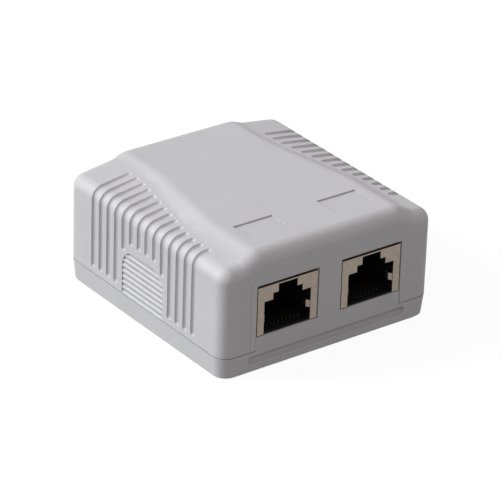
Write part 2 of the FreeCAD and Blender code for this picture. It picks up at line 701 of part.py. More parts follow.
def make_shield(x):
    """The stamped can: front, top, sides and back in one folded sheet, with earthing fingers."""
    half = JACK_HALF
    can = box(x - half, x + half, JACK_FACE_Y, JACK_BACK_Y, BOARD_TOP, JACK_TOP)
    inner = half - SHIELD_SHEET
    hollow = box(x - inner, x + inner, JACK_FACE_Y + SHIELD_SHEET, JACK_BACK_Y - SHIELD_SHEET,
                 BOARD_TOP - 1.0, JACK_TOP - SHIELD_SHEET)
    socket = prism_xz(plug_outline(x), JACK_FACE_Y - 1.0, JACK_FACE_Y + SHIELD_SHEET + 1.0)
    mouth = box(x - PLUG_HALF, x + PLUG_HALF, JACK_FACE_Y - 1.0, JACK_FACE_Y + SHIELD_SHEET + 1.0,
                BOARD_TOP - 1.0, PLUG_TOP)
    foot = box(x - half, x + half, JACK_FACE_Y - 1.0, JACK_FACE_Y + SHIELD_SHEET,
               BOARD_TOP - 1.0, BOARD_TOP + SHIELD_FOOT_GAP)
    can = can.cut([hollow, socket, mouth, foot])
    adds = []
    for px, py in leg_places(x):
        adds.append(box(px - SHIELD_SHEET / 2, px + SHIELD_SHEET / 2, py - LEG_WIDTH / 2,
                        py + LEG_WIDTH / 2, BOARD_BOTTOM - TAIL_LENGTH, BOARD_TOP + 1.0))
    edge = PLUG_HALF
    for side in SIDES:
        bend = [(edge, JACK_FACE_Y + SHIELD_SHEET / 2),
                (edge - FINGER_REACH, JACK_FACE_Y + FINGER_KNEE),
                (edge - SHIELD_SHEET / 2, JACK_FACE_Y + FINGER_LENGTH)]
        outline = [(x + side * px, py) for px, py in ribbon(bend, SHIELD_SHEET)]
        z = BOARD_TOP + FINGER_Z
        adds.append(prism_xy(outline, z - FINGER_HEIGHT / 2, z + FINGER_HEIGHT / 2))
    return can.multiFuse(adds).removeSplitter()


def make_housing(x):
    """The moulded jack body inside the can, with the plug cavity and a bay for the carrier."""
    half = JACK_HALF - SHIELD_SHEET - HOUSING_FIT
    front = JACK_FACE_Y + SHIELD_SHEET + HOUSING_FIT
    back = JACK_BACK_Y - SHIELD_SHEET - HOUSING_FIT
    body = box(x - half, x + half, front, back, BOARD_TOP, JACK_TOP - SHIELD_SHEET - HOUSING_FIT)
    cavity = prism_xz(plug_outline(x), front - 1.0, JACK_FACE_Y + CAVITY_DEPTH)
    bay = carrier_box(x, HOUSING_FIT)
    floor = BOARD_TOP + CAVITY_FLOOR
    first = x - CONTACT_PITCH * CONTACT_COUNT / 2
    comb = []
    for i in range(CONTACT_COUNT + 1):
        rib = first + CONTACT_PITCH * i
        comb.append(box(rib - COMB_WALL / 2, rib + COMB_WALL / 2, front + COMB_SETBACK,
                        JACK_FACE_Y + CAVITY_DEPTH - HOUSING_FIT, floor, floor + COMB_HEIGHT))
    return body.cut([cavity, bay]).multiFuse(comb).removeSplitter()


def carrier_box(x, ease):
    half = PLUG_HALF - CARRIER_SIDE_GAP + ease
    return box(x - half, x + half, JACK_FACE_Y + CAVITY_DEPTH - ease, JACK_BACK_Y - SHIELD_SHEET - ease,
               BOARD_TOP - ease, BOARD_TOP + CAVITY_FLOOR + CARRIER_HEIGHT + ease)


def contact_strip(x, y_tail, width):
    """One contact: up from the board, forward along the floor, then back up into the socket."""
    rest = BOARD_TOP + CAVITY_FLOOR + CONTACT_REST + CONTACT_WIRE / 2
    front = JACK_FACE_Y + CONTACT_FRONT
    run = [(y_tail, BOARD_BOTTOM - TAIL_LENGTH), (y_tail, rest), (front, rest),
           (front, rest + CONTACT_BEND), (front + CONTACT_RUN, rest + CONTACT_LIFT)]
    return prism_yz(ribbon(run, width), x - width / 2, x + width / 2)


def make_contacts(x):
    return Part.makeCompound([contact_strip(px, py, CONTACT_WIRE) for px, py in contact_rows(x)])


def make_carrier(x):
    """The small moulded block behind the plug cavity that holds the contacts in line."""
    carrier = carrier_box(x, 0.0)
    return carrier.cut([contact_strip(px, py, CONTACT_WIRE) for px, py in contact_rows(x)])


# ---- Wiring blocks ------------------------------------------------------------------------------

def make_block(block_y):
    """An eight-way block with a wire slot and a blade pocket for each way."""
    half = BLOCK_LENGTH / 2
    y0 = block_y - BLOCK_DEPTH / 2
    y1 = block_y + BLOCK_DEPTH / 2
    top = BOARD_TOP + BLOCK_HEIGHT
    block = box(-half, half, y0, y1, BOARD_TOP, top)
    cuts = []
    pocket_half = BLADE_WIDTH / 2 + BLADE_FIT
    sheet_half = BLADE_SHEET / 2 + BLADE_FIT
    for x, y in blade_places(block_y):
        slot = WIRE_SLOT / 2
        funnel = WIRE_FUNNEL / 2
        outline = [(x - slot, top - WIRE_SLOT_DEPTH), (x + slot, top - WIRE_SLOT_DEPTH),
                   (x + slot, top - WIRE_FUNNEL_DEPTH), (x + funnel, top + 1e-3),
                   (x - funnel, top + 1e-3), (x - slot, top - WIRE_FUNNEL_DEPTH)]
        cuts.append(prism_xz(outline, y0 - 1.0, y1 + 1.0))
        cuts.append(box(x - pocket_half, x + pocket_half, y - sheet_half, y + sheet_half,
                        BOARD_TOP - 1.0, top + 1.0))
    return block.cut(cuts)


def blade(x, y):
    """One forked contact blade with its board pin."""
    half = BLADE_WIDTH / 2
    top = BOARD_TOP + BLOCK_HEIGHT - BLADE_TOP_GAP
    slit = BLADE_SLIT / 2
    pin = BLADE_PIN / 2
    low = BOARD_TOP + BLADE_FIT
    outline = [(-pin, BOARD_BOTTOM - TAIL_LENGTH), (pin, BOARD_BOTTOM - TAIL_LENGTH), (pin, low),
               (half, low), (half, top - half), (BLADE_TIP, top), (slit, top - BLADE_TIP),
               (slit, top - BLADE_SLIT_DEPTH), (-slit, top - BLADE_SLIT_DEPTH), (-slit, top - BLADE_TIP),
               (-BLADE_TIP, top), (-half, top - half), (-half, low), (-pin, low)]
    return prism_xz([(x + px, pz) for px, pz in outline], y - BLADE_SHEET / 2, y + BLADE_SHEET / 2)


def make_blades(block_y):
    return Part.makeCompound([blade(x, y) for x, y in blade_places(block_y)])


# ---- Earthing and strain relief -----------------------------------------------------------------

def make_bar():
    """The flat earth bar that the two cable saddles clamp down on."""
    bar = box(-BOARD_TAB_HALF, BOARD_TAB_HALF, BAR_FRONT_Y, BAR_BACK_Y, BOARD_TOP, BAR_TOP)
    radius = SCREW_CORE + SCREW_HOLE_EASE
    return bar.cut([cylinder_z(x, y, BOARD_TOP - 1.0, BAR_TOP + 1.0, radius)
                    for x, y in screw_places()["clamp"]])


def make_saddle(side):
    """A bent strap with two screwed feet and an arch for one cable."""
    middle = CABLE_RADIUS + SADDLE_SHEET / 2
    foot_z = BAR_TOP + SADDLE_SHEET / 2
    arc_z = foot_z + SADDLE_RISE
    run = [(-SADDLE_HALF, foot_z), (-middle, foot_z)]
    for i in range(SADDLE_STEPS + 1):
        angle = math.pi * (1 - i / SADDLE_STEPS)
        run.append((middle * math.cos(angle), arc_z + middle * math.sin(angle)))
    run += [(middle, foot_z), (SADDLE_HALF, foot_z)]
    x = side * SADDLE_X
    y0 = CLAMP_SCREW_Y - SADDLE_WIDTH / 2
    strap = prism_xz([(x + px, pz) for px, pz in ribbon(run, SADDLE_SHEET)], y0, y0 + SADDLE_WIDTH)
    return strap.cut([cylinder_z(x + s * CLAMP_SCREW_X, CLAMP_SCREW_Y, BAR_TOP - 1.0,
                                 BAR_TOP + SADDLE_SHEET + 1.0, SCREW_CORE + SCREW_HOLE_EASE)
                      for s in SIDES])


def screw(x, y, seat):
    """A pan-head screw whose head sits on the height called seat."""
    shank = cylinder_z(x, y, BOARD_BOTTOM - SCREW_BITE, seat, SCREW_CORE)
    head = cylinder_z(x, y, seat, seat + SCREW_HEAD_HEIGHT, SCREW_HEAD_RADIUS)
    top_edges = [e for e in head.Edges if e.BoundBox.ZMin > seat + SCREW_HEAD_HEIGHT - 1e-6]
    head = head.makeFillet(SCREW_HEAD_ROUND, top_edges)
    top = seat + SCREW_HEAD_HEIGHT
    width = CROSS_WIDTH / 2
    cross = [box(x - CROSS_ARM, x + CROSS_ARM, y - width, y + width, top - CROSS_DEPTH, top + 1.0),
             box(x - width, x + width, y - CROSS_ARM, y + CROSS_ARM, top - CROSS_DEPTH, top + 1.0)]
    return shank.fuse(head).removeSplitter().cut(cross)


def make_screws(kind, seat):
    return Part.makeCompound([screw(x, y, seat) for x, y in screw_places()[kind]])


# ---- Assembly -----------------------------------------------------------------------------------

def build_parts():
    parts = {
        "cover": make_cover(),
        "base": make_base(),
        "circuit_board": make_board(),
        "wiring_block_front": make_block(BLOCK_FRONT_Y),
        "wiring_block_rear": make_block(BLOCK_BACK_Y),
        "wiring_contacts_front": make_blades(BLOCK_FRONT_Y),
        "wiring_contacts_rear": make_blades(BLOCK_BACK_Y),
        "earth_bar": make_bar(),
        "cable_saddle_left": make_saddle(-1),
        "cable_saddle_right": make_saddle(1),
        "saddle_screws": make_screws("clamp", BAR_TOP + SADDLE_SHEET),
        "board_screw": make_screws("board", BOARD_TOP),
    }
    for name, x in jack_centres().items():
        parts["jack_shield_" + name] = make_shield(x)
        parts["jack_housing_" + name] = make_housing(x)
        parts["contact_carrier_" + name] = make_carrier(x)
        parts["jack_contacts_" + name] = make_contacts(x)
    return parts


def main():
    os.makedirs("parts", exist_ok=True)
    for name, shape in build_parts().items():
        shape.exportStep("parts/" + name + ".step")
        box_ = shape.BoundBox
        print(f"{name:24s} solids {len(shape.Solids):2d} valid {shape.isValid()} "
              f"volume {shape.Volume:9.2f} x {box_.XMin:7.2f} {box_.XMax:7.2f} "
              f"y {box_.YMin:7.2f} {box_.YMax:7.2f} z {box_.ZMin:6.2f} {box_.ZMax:6.2f}")


main()
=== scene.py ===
"""Dresses the surface mount jack box: case, sockets, wiring, earthing parts and stage."""

import json
import math

import bmesh
import bpy
from bpy.props import FloatProperty, FloatVectorProperty, IntProperty, PointerProperty
from mathutils import Matrix, Vector

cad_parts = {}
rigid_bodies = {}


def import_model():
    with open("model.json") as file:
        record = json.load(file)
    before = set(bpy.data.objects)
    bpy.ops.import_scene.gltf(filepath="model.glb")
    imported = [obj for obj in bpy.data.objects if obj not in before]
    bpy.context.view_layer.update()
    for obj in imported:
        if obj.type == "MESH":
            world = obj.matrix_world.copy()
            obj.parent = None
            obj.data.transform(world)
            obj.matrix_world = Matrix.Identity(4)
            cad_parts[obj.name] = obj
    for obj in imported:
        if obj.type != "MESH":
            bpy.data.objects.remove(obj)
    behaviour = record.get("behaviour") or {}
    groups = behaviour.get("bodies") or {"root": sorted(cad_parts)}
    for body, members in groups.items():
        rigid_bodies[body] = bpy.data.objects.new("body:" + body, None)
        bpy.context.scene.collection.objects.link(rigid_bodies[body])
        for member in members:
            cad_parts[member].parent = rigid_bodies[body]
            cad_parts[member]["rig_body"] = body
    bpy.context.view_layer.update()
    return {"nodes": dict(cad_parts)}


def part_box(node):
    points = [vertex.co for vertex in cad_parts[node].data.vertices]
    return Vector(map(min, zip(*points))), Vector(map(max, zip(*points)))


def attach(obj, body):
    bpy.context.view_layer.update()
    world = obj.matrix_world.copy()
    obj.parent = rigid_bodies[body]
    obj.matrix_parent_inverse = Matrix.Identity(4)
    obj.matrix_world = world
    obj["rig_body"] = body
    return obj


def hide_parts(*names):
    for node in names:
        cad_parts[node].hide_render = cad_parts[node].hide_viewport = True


bl_info = {
    "name": "Surface Mount Jack Box",
    "version": (1, 0, 0),
    "blender": (4, 5, 0),
    "location": "3D View > Sidebar > Jack Box",
    "description": "Finishes the case, sockets, wiring and earthing of a surface mount jack box",
    "category": "Object",
}

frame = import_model()
SIDES = ("left", "right")
ROWS = ("front", "rear")
WHITE = (1.0, 1.0, 1.0)
NOISE_MIDDLE = (0.3, 0.7)
PLASTIC_SWING = 0.05
METAL_SWING = 0.06
MERGE_DISTANCE = 0.000002
FLAT_ANGLE = math.radians(0.05)
FOLD_CREASE = math.radians(30)
ROUNDED_EDGE = math.radians(40)
WIRE_CREASE = math.radians(50)
SENSOR_WIDTH = 36.0


# ---- Settings -----------------------------------------------------------------------------------

class CaseSettings(bpy.types.PropertyGroup):
    colour: FloatVectorProperty(
        name="Colour", description="Colour of the case's light grey plastic", subtype="COLOR",
        size=3, min=0.0, max=1.0, default=(0.575, 0.581, 0.597))
    roughness: FloatProperty(
        name="Roughness", description="How matt the case is", subtype="FACTOR",
        min=0.0, max=1.0, default=0.56)
    grain_size: FloatProperty(
        name="Grain size", description="Width of one bump of the mould's spark texture",
        unit="LENGTH", default=0.00028)
    grain_depth: FloatProperty(
        name="Grain depth", description="Height of the mould's spark texture",
        unit="LENGTH", default=0.000012)
    crease: FloatProperty(
        name="Crease angle", description="Edges that turn more than this stay sharp",
        subtype="ANGLE", default=math.radians(23))
    # Painted shade: the two settings below set how far the occlusion test reaches and how much
    # colour it takes from the cover's grooves, louvres and recesses.
    painted_shade_reach: FloatProperty(
        name="Hollow reach", description="Hollows narrower than this take the darker shade",
        unit="LENGTH", default=0.0014)
    painted_shade_amount: FloatProperty(
        name="Hollow shade", description="How much of its colour a closed hollow loses",
        subtype="FACTOR", min=0.0, max=1.0, default=0.3)
    # Painted shade for the base, stronger than the cover's: it darkens the front slot, the seam and
    # the inner corners by colour.
    base_painted_shade_reach: FloatProperty(
        name="Base hollow reach",
        description="Hollows of the base narrower than this take its darker shade",
        unit="LENGTH", default=0.0024)
    base_painted_shade_amount: FloatProperty(
        name="Base hollow shade", description="How much of its colour a closed hollow loses",
        subtype="FACTOR", min=0.0, max=1.0, default=0.85)


class SocketSettings(bpy.types.PropertyGroup):
    # Partly the nickel's own dull colour and partly painted shade: set much darker than bare nickel
    # so the shields read as lying in shade.
    shield_colour: FloatVectorProperty(
        name="Shield colour", description="Colour of the dull nickel plating", subtype="COLOR",
        size=3, min=0.0, max=1.0, default=(0.27, 0.225, 0.187))
    body_colour: FloatVectorProperty(
        name="Body colour", description="Colour of the sockets' black plastic", subtype="COLOR",
        size=3, min=0.0, max=1.0, default=(0.004, 0.004, 0.004))
    # Partly gold plating and partly painted shade: far darker than bare gold, standing in for the
    # shade deep inside the socket.
    contact_colour: FloatVectorProperty(
        name="Contact colour", description="Colour of the gold-plated contact wires",
        subtype="COLOR", size=3, min=0.0, max=1.0, default=(0.11, 0.076, 0.03))
    contact_count: IntProperty(
        name="Contacts", description="Contact wires in each socket", min=1, default=8)
    contact_pitch: FloatProperty(
        name="Contact pitch", description="Distance between neighbouring contact wires",
        unit="LENGTH", default=0.00102)
    contact_wire: FloatProperty(
        name="Wire thickness", description="Diameter of a contact wire", unit="LENGTH",
        default=0.0003)
    contact_floor: FloatProperty(
        name="Wire height", description="Height of the wires' level run above the board",
        unit="LENGTH", default=0.0008)
    contact_lift: FloatProperty(
        name="Front bend", description="Height of the upright part at each wire's front bend",
        unit="LENGTH", default=0.00035)
    bend_radius: FloatProperty(
        name="Bend radius", description="Radius of a wire's bends", unit="LENGTH",
        default=0.0005)
    contact_reach: FloatProperty(
        name="Spring length", description="How far each wire's free end runs back into the socket",
        unit="LENGTH", default=0.0075)
    tail_row: FloatProperty(
        name="Tail rows", description="Distance between the two staggered rows of tails",
        unit="LENGTH", default=0.00127)
    body_round: FloatProperty(
        name="Body rounding", description="Rounding along the black plastic's edges",
        unit="LENGTH", default=0.0001)
    edge_round: FloatProperty(
        name="Edge rounding", description="Rounding along the folded sheet's edges",
        unit="LENGTH", default=0.00008)


class WiringSettings(bpy.types.PropertyGroup):
    block_colour: FloatVectorProperty(
        name="Block colour", description="Colour of the wiring blocks' plastic", subtype="COLOR",
        size=3, min=0.0, max=1.0, default=(0.55, 0.54, 0.50))
    mask_colour: FloatVectorProperty(
        name="Board colour", description="Colour of the board's solder mask", subtype="COLOR",
        size=3, min=0.0, max=1.0, default=(0.016, 0.115, 0.05))
    weave_count: FloatProperty(
        name="Weave", description="How fine the weave of the board's glass cloth is",
        default=900.0)
    steel_colour: FloatVectorProperty(
        name="Steel colour", description="Colour of the zinc-plated steel", subtype="COLOR",
        size=3, min=0.0, max=1.0, default=(0.60, 0.60, 0.60))
    tin_colour: FloatVectorProperty(
        name="Blade colour", description="Colour of the tinned contact blades", subtype="COLOR",
        size=3, min=0.0, max=1.0, default=(0.66, 0.65, 0.62))
    blade_count: IntProperty(
        name="Ways", description="Contact blades in each wiring block", min=1, default=8)
    blade_pitch: FloatProperty(
        name="Way pitch", description="Distance between neighbouring blades", unit="LENGTH",
        default=0.004)
    blade_width: FloatProperty(
        name="Blade width", description="Width of a blade above the board", unit="LENGTH",
        default=0.0028)
    blade_tip: FloatProperty(
        name="Blade tip", description="How far each prong's top slopes in", unit="LENGTH",
        default=0.0008)
    slit_width: FloatProperty(
        name="Slit width", description="Gap between a blade's two prongs", unit="LENGTH",
        default=0.0004)
    slit_depth: FloatProperty(
        name="Slit depth", description="How far the gap runs down a blade", unit="LENGTH",
        default=0.005)
    pin_width: FloatProperty(
        name="Pin width", description="Width of a blade's pin through the board", unit="LENGTH",
        default=0.0007)
    blade_round: FloatProperty(
        name="Blade rounding", description="Rounding along a blade's stamped edges",
        unit="LENGTH", default=0.00006)
    blade_seat: FloatProperty(
        name="Blade seat", description="How far a blade's shoulder stands off the board",
        unit="LENGTH", default=0.00005)
    steel_round: FloatProperty(
        name="Steel rounding", description="Rounding along the steel strips' edges",
        unit="LENGTH", default=0.0001)
    edge_round: FloatProperty(
        name="Edge rounding", description="Rounding along the blocks' moulded edges",
        unit="LENGTH", default=0.00015)


class StageSettings(bpy.types.PropertyGroup):
    azimuth: FloatProperty(
        name="Azimuth", description="How far the camera stands to the left of the front",
        subtype="ANGLE", default=math.radians(37.22))
    elevation: FloatProperty(
        name="Elevation", description="How far the camera looks down", subtype="ANGLE",
        default=math.radians(27.38))
    roll: FloatProperty(
        name="Roll", description="Tilt of the camera about its own axis", subtype="ANGLE",
        default=math.radians(1.91))
    distance: FloatProperty(
        name="Distance", description="From the camera to the point it looks at", unit="LENGTH",
        default=0.699)
    aim: FloatVectorProperty(
        name="Aim", description="The point that the camera looks at", subtype="TRANSLATION",
        size=3, default=(-0.0004, -0.0011, 0.0114))
    lens: FloatProperty(
        name="Lens", description="Focal length in millimetres on a 36 mm wide sensor",
        default=236.9)
    key_strength: FloatProperty(
        name="Key light", description="Strength of the soft light from the upper left",
        default=2.86)
    key_colour: FloatVectorProperty(
        name="Key light's colour", description="Colour of the soft light from the upper left",
        subtype="COLOR", size=3, min=0.0, max=1.0, default=(0.985, 0.995, 1.0))
    key_spread: FloatProperty(
        name="Key softness", description="How wide the key light looks from the box",
        subtype="ANGLE", default=math.radians(25))
    key_height: FloatProperty(
        name="Key height", description="How high the key light stands", subtype="ANGLE",
        default=math.radians(30))
    key_azimuth: FloatProperty(
        name="Key azimuth", description="How far behind the left side the key light stands",
        subtype="ANGLE", default=math.radians(34))
    front_strength: FloatProperty(
        name="Front light", description="Strength of the weak light from the front left",
        default=0.38)
    front_spread: FloatProperty(
        name="Front softness", description="How wide the front light looks from the box",
        subtype="ANGLE", default=math.radians(60))
    front_height: FloatProperty(
        name="Front height", description="How high the front light stands", subtype="ANGLE",
        default=math.radians(33))
    front_azimuth: FloatProperty(
        name="Front azimuth", description="How far behind the left side the front light stands",
        subtype="ANGLE", default=math.radians(-65))
    fill_colour: FloatVectorProperty(
        name="Even light's colour", description="Colour of the even light from all round",
        subtype="COLOR", size=3, min=0.0, max=1.0, default=(1.0, 0.93, 0.92))
    fill_strength: FloatProperty(
        name="Even light", description="Strength of the even light from all round", default=0.36)
    floor_shade: FloatProperty(
        name="Floor shade", description="How much light the floor gives back",
        subtype="FACTOR", min=0.0, max=1.0, default=0.14)
    floor_reach: FloatProperty(
        name="Floor reach", description="From the middle of the floor to its edges",
        unit="LENGTH", default=4.0)
    floor_drop: FloatProperty(
        name="Floor drop", description="Gap under the base, so that the two never share a plane",
        unit="LENGTH", default=0.0001)
    floor_lift: FloatProperty(
        name="Floor lift", description="What is added to the floor where it is looked at",
        default=0.915)


SETTINGS = {
    "case": CaseSettings,
    "sockets": SocketSettings,
    "wiring": WiringSettings,
    "stage": StageSettings,
}


def settings(name):
    return getattr(bpy.context.scene, "jack_box_" + name)


# ---- Shader groups ------------------------------------------------------------------------------

def add_sockets(tree, inputs, outputs):
    """Gives a node group its sockets: inputs as (name, kind, default), outputs as (name, kind)."""
    for name, kind, default in inputs:
        socket = tree.interface.new_socket(name, in_out="INPUT", socket_type=kind)
        if default is not None:
            socket.default_value = default
    for name, kind in outputs:
        tree.interface.new_socket(name, in_out="OUTPUT", socket_type=kind)


def math_node(tree, operation, *values):
    node = tree.nodes.new("ShaderNodeMath")
    node.operation = operation
    for socket, value in zip(node.inputs, values):
        if isinstance(value, bpy.types.NodeSocket):
            tree.links.new(value, socket)
        else:
            socket.default_value = value
    return node.outputs[0]


def moulded_grain():
    """Fine mould texture with a faint cloudiness, for every plastic."""
    name = "moulded_grain"
    if name in bpy.data.node_groups:
        return bpy.data.node_groups[name]
    tree = bpy.data.node_groups.new(name, "ShaderNodeTree")
    add_sockets(tree,
                [("Vector", "NodeSocketVector", None),
                 ("Grain Size", "NodeSocketFloat", 0.0003),
                 ("Cloud Size", "NodeSocketFloat", 0.012)],
                [("Height", "NodeSocketFloat"), ("Speckle", "NodeSocketFloat"),
                 ("Cloud", "NodeSocketFloat")])
    source = tree.nodes.new("NodeGroupInput")
    sink = tree.nodes.new("NodeGroupOutput")
    for size, detail, outputs in (("Grain Size", 2.0, ("Height", "Speckle")),
                                  ("Cloud Size", 3.0, ("Cloud",))):
        noise = tree.nodes.new("ShaderNodeTexNoise")
        noise.inputs["Detail"].default_value = detail
        tree.links.new(source.outputs["Vector"], noise.inputs["Vector"])
        tree.links.new(math_node(tree, "DIVIDE", 1.0, source.outputs[size]), noise.inputs["Scale"])
        for output in outputs:
            tree.links.new(noise.outputs["Fac"], sink.inputs[output])
    return tree


def rolled_sheet():
    """Rolling streaks and cloudy plating, for every metal."""
    name = "rolled_sheet"
    if name in bpy.data.node_groups:
        return bpy.data.node_groups[name]
    tree = bpy.data.node_groups.new(name, "ShaderNodeTree")
    add_sockets(tree,
                [("Vector", "NodeSocketVector", None),
                 ("Streak Width", "NodeSocketFloat", 0.0001),
                 ("Streak Length", "NodeSocketFloat", 0.004),
                 ("Mottle Size", "NodeSocketFloat", 0.0015)],
                [("Streaks", "NodeSocketFloat"), ("Mottle", "NodeSocketFloat")])
    source = tree.nodes.new("NodeGroupInput")
    sink = tree.nodes.new("NodeGroupOutput")
    along = math_node(tree, "DIVIDE", 1.0, source.outputs["Streak Length"])
    across = math_node(tree, "DIVIDE", 1.0, source.outputs["Streak Width"])
    stretch = tree.nodes.new("ShaderNodeCombineXYZ")
    tree.links.new(along, stretch.inputs["X"])
    tree.links.new(across, stretch.inputs["Y"])
    tree.links.new(across, stretch.inputs["Z"])
    scaled = tree.nodes.new("ShaderNodeVectorMath")
    scaled.operation = "MULTIPLY"
    tree.links.new(source.outputs["Vector"], scaled.inputs[0])
    tree.links.new(stretch.outputs[0], scaled.inputs[1])
    streaks = tree.nodes.new("ShaderNodeTexNoise")
    streaks.inputs["Scale"].default_value = 1.0
    streaks.inputs["Detail"].default_value = 2.0
    tree.links.new(scaled.outputs[0], streaks.inputs["Vector"])
    mottle = tree.nodes.new("ShaderNodeTexNoise")
    mottle.inputs["Detail"].default_value = 4.0
    tree.links.new(source.outputs["Vector"], mottle.inputs["Vector"])
    tree.links.new(math_node(tree, "DIVIDE", 1.0, source.outputs["Mottle Size"]),
                   mottle.inputs["Scale"])
    tree.links.new(streaks.outputs["Fac"], sink.inputs["Streaks"])
    tree.links.new(mottle.outputs["Fac"], sink.inputs["Mottle"])
    return tree


# ---- Materials ----------------------------------------------------------------------------------

def new_material(name):
    """A material with its Principled shader, and the nodes and links to build on."""
    material = bpy.data.materials.new(name)
    material.use_nodes = True
    tree = material.node_tree
    shader = next(n for n in tree.nodes if n.type == "BSDF_PRINCIPLED")
    return material, tree, shader


def place_group(tree, group, **values):
    """Puts a shared group into a material, on object coordinates and with the material's values."""
    coordinates = tree.nodes.new("ShaderNodeTexCoord")
    node = tree.nodes.new("ShaderNodeGroup")
    node.node_tree = group
    tree.links.new(coordinates.outputs["Object"], node.inputs["Vector"])
    for name, value in values.items():
        node.inputs[name.replace("_", " ").title()].default_value = value
    return node


def spread(tree, value, low, high):
    """Maps the middle of a noise onto low to high."""
    node = tree.nodes.new("ShaderNodeMapRange")
    node.inputs["From Min"].default_value, node.inputs["From Max"].default_value = NOISE_MIDDLE
    node.inputs["To Min"].default_value = low
    node.inputs["To Max"].default_value = high
    tree.links.new(value, node.inputs["Value"])
    return node.outputs["Result"]


def tint(tree, value, colour, dark, light):
    """A colour that wanders between a darker and a lighter shade of itself."""
    ramp = tree.nodes.new("ShaderNodeValToRGB")
    for element, place, shade in zip(ramp.color_ramp.elements, NOISE_MIDDLE, (dark, light)):
        element.position = place
        element.color = (*(c * shade for c in colour), 1.0)
    tree.links.new(value, ramp.inputs["Fac"])
    return ramp.outputs["Color"]


def bump(tree, shader, height, strength, distance):
    node = tree.nodes.new("ShaderNodeBump")
    node.inputs["Strength"].default_value = strength
    node.inputs["Distance"].default_value = distance
    tree.links.new(height, node.inputs["Height"])
    tree.links.new(node.outputs["Normal"], shader.inputs["Normal"])


def plastic(name, colour, roughness, grain_size, grain_depth, shade=0.02):
    if name in bpy.data.materials:
        return bpy.data.materials[name]
    material, tree, shader = new_material(name)
    grain = place_group(tree, moulded_grain(), grain_size=grain_size, cloud_size=0.009)
    tree.links.new(tint(tree, grain.outputs["Cloud"], colour, 1.0 - shade, 1.0 + shade),
                   shader.inputs["Base Color"])
    tree.links.new(spread(tree, grain.outputs["Speckle"], roughness - PLASTIC_SWING,
                          roughness + PLASTIC_SWING), shader.inputs["Roughness"])
    bump(tree, shader, grain.outputs["Height"], strength=0.6, distance=grain_depth)
    return material


def metal(name, colour, roughness, mottle_size, shade):
    if name in bpy.data.materials:
        return bpy.data.materials[name]
    material, tree, shader = new_material(name)
    shader.inputs["Metallic"].default_value = 1.0
    sheet = place_group(tree, rolled_sheet(), mottle_size=mottle_size)
    tree.links.new(tint(tree, sheet.outputs["Mottle"], colour, 1.0 - shade, 1.0 + shade),
                   shader.inputs["Base Color"])
    tree.links.new(spread(tree, sheet.outputs["Streaks"], roughness - METAL_SWING,
                          roughness + METAL_SWING), shader.inputs["Roughness"])
    bump(tree, shader, sheet.outputs["Streaks"], strength=0.35, distance=0.000008)
    return material


def paint_hollow_shade(material, reach, amount):
    """Paints shade into narrow hollows: an ambient occlusion test takes away some of a material's
    colour there.
    """
    tree = material.node_tree
    shader = next(n for n in tree.nodes if n.type == "BSDF_PRINCIPLED")
    colour = shader.inputs["Base Color"].links[0].from_socket
    hollow = tree.nodes.new("ShaderNodeAmbientOcclusion")
    hollow.only_local = True
    hollow.samples = 12
    hollow.inputs["Distance"].default_value = reach
    # Painted shade: the occlusion share scales the base colour down in grooves, slots and corners.
    kept = math_node(tree, "MULTIPLY_ADD", hollow.outputs["AO"], amount, 1.0 - amount)
    shaded = tree.nodes.new("ShaderNodeVectorMath")
    shaded.operation = "SCALE"
    tree.links.new(colour, shaded.inputs[0])
    tree.links.new(kept, shaded.inputs["Scale"])
    tree.links.new(shaded.outputs[0], shader.inputs["Base Color"])


def case_plastic(name, painted_shade_reach, painted_shade_amount):
    if name in bpy.data.materials:
        return bpy.data.materials[name]
    case = settings("case")
    material = plastic(name, case.colour, case.roughness, case.grain_size, case.grain_depth)
    paint_hollow_shade(material, painted_shade_reach, painted_shade_amount)
    return material


def jack_plastic():
    material = plastic("black_moulding", settings("sockets").body_colour, roughness=0.7,
                       grain_size=0.0002, grain_depth=0.000008, shade=0.15)
    shader = next(n for n in material.node_tree.nodes if n.type == "BSDF_PRINCIPLED")
    shader.inputs["Specular IOR Level"].default_value = 0.1
    return material


def block_plastic():
    return plastic("pale_moulding", settings("wiring").block_colour, roughness=0.45,
                   grain_size=0.0002, grain_depth=0.000006)


def nickel_shield():
    return metal("dull_nickel", settings("sockets").shield_colour, roughness=0.42,
                 mottle_size=0.0009, shade=0.10)


def gold_contact():
    return metal("gold_plate", settings("sockets").contact_colour, roughness=0.30,
                 mottle_size=0.002, shade=0.05)


def tinned_contact():
    return metal("tin_plate", settings("wiring").tin_colour, roughness=0.35,
                 mottle_size=0.001, shade=0.06)


def plated_steel():
    return metal("zinc_plate", settings("wiring").steel_colour, roughness=0.34,
                 mottle_size=0.0012, shade=0.07)


def board_laminate():
    """Green solder mask with the faint weave of the glass cloth under it."""
    name = "solder_mask"
    if name in bpy.data.materials:
        return bpy.data.materials[name]
    wiring = settings("wiring")
    material, tree, shader = new_material(name)
    grain = place_group(tree, moulded_grain(), grain_size=0.0005, cloud_size=0.006)
    coordinates = tree.nodes.new("ShaderNodeTexCoord")
    weave = []
    for direction in ("X", "Y"):
        wave = tree.nodes.new("ShaderNodeTexWave")
        wave.bands_direction = direction
        wave.inputs["Scale"].default_value = wiring.weave_count
        tree.links.new(coordinates.outputs["Object"], wave.inputs["Vector"])
        weave.append(wave.outputs["Fac"])
    cloth = math_node(tree, "MULTIPLY", *weave)
    tree.links.new(tint(tree, grain.outputs["Cloud"], wiring.mask_colour, dark=0.9, light=1.12),
                   shader.inputs["Base Color"])
    tree.links.new(spread(tree, grain.outputs["Speckle"], low=0.26, high=0.34),
                   shader.inputs["Roughness"])
    bump(tree, shader, cloth, strength=0.25, distance=0.00001)
    return material


# ---- Meshes -------------------------------------------------------------------------------------

def add_object(name, mesh):
    made = bpy.data.objects.new(name, mesh)
    bpy.context.scene.collection.objects.link(made)
    return made


